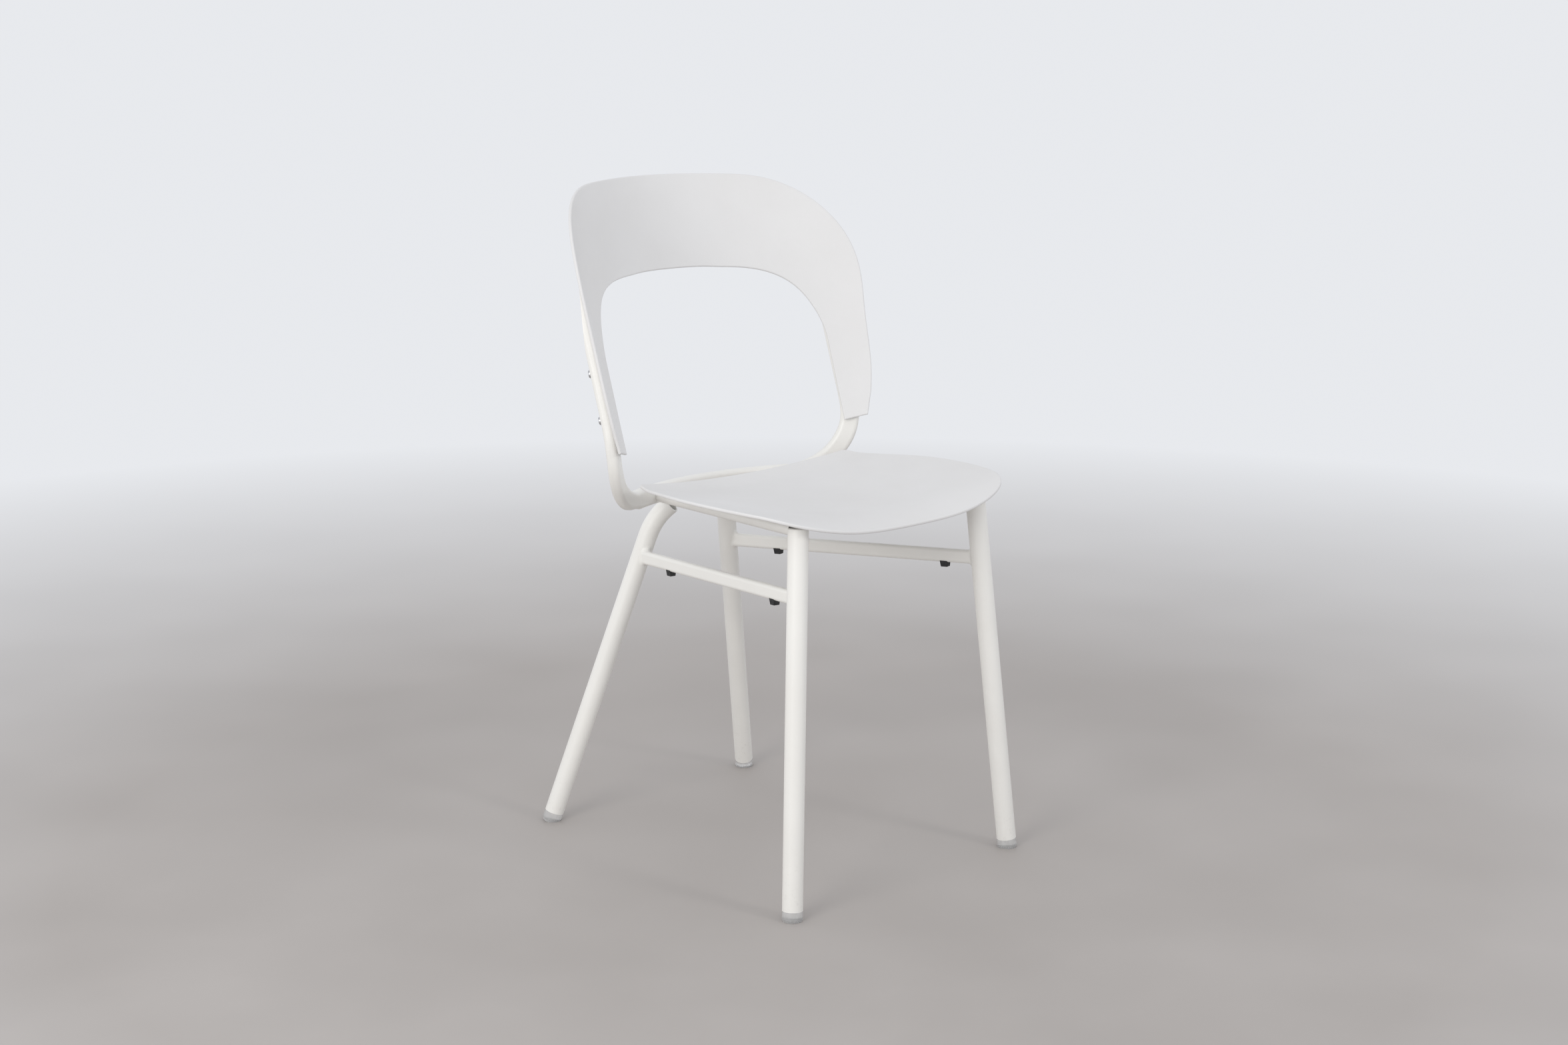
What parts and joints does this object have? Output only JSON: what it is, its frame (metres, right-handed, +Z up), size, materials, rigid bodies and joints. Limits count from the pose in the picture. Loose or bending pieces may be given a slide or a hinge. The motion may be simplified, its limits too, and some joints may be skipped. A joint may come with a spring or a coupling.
{
  "type": "stacking chair",
  "caption": "Stacking chair with a welded tube frame on splayed round legs, a dished moulded seat with a waterfall front and an open horseshoe backrest.",
  "frame": {"origin": "on the floor, under the middle of the chair's overall box", "axes": "+Z up, the chair faces -Y, the sitter's right hand is -X"},
  "size_m": [0.475, 0.51, 0.8471],
  "materials": {
    "frame_coat": "satin powder coat, warm off-white",
    "shell_plastic": "fine matt moulded texture, cool off-white",
    "glide_plastic": "milky translucent, satin",
    "bumper_rubber": "matt black",
    "screw_steel": "zinc plated"
  },
  "bodies": {
    "root": {"back_hoop": "frame_coat", "front_leg_right": "frame_coat", "front_leg_left": "frame_coat", "rear_leg_right": "frame_coat", "rear_leg_left": "frame_coat", "side_rail_right": "frame_coat", "side_rail_left": "frame_coat", "side_stretcher_right": "frame_coat", "side_stretcher_left": "frame_coat", "front_cross_tube": "frame_coat", "rear_cross_tube": "frame_coat", "seat_tabs": "frame_coat", "seat_shell": "shell_plastic", "backrest_shell": "shell_plastic", "seat_screws": "screw_steel", "backrest_screws": "screw_steel", "front_glide_right": "glide_plastic", "front_glide_left": "glide_plastic", "rear_glide_right": "glide_plastic", "rear_glide_left": "glide_plastic", "front_bumper_right": "bumper_rubber", "front_bumper_left": "bumper_rubber", "rear_bumper_right": "bumper_rubber", "rear_bumper_left": "bumper_rubber"}
  },
  "joints": []
}
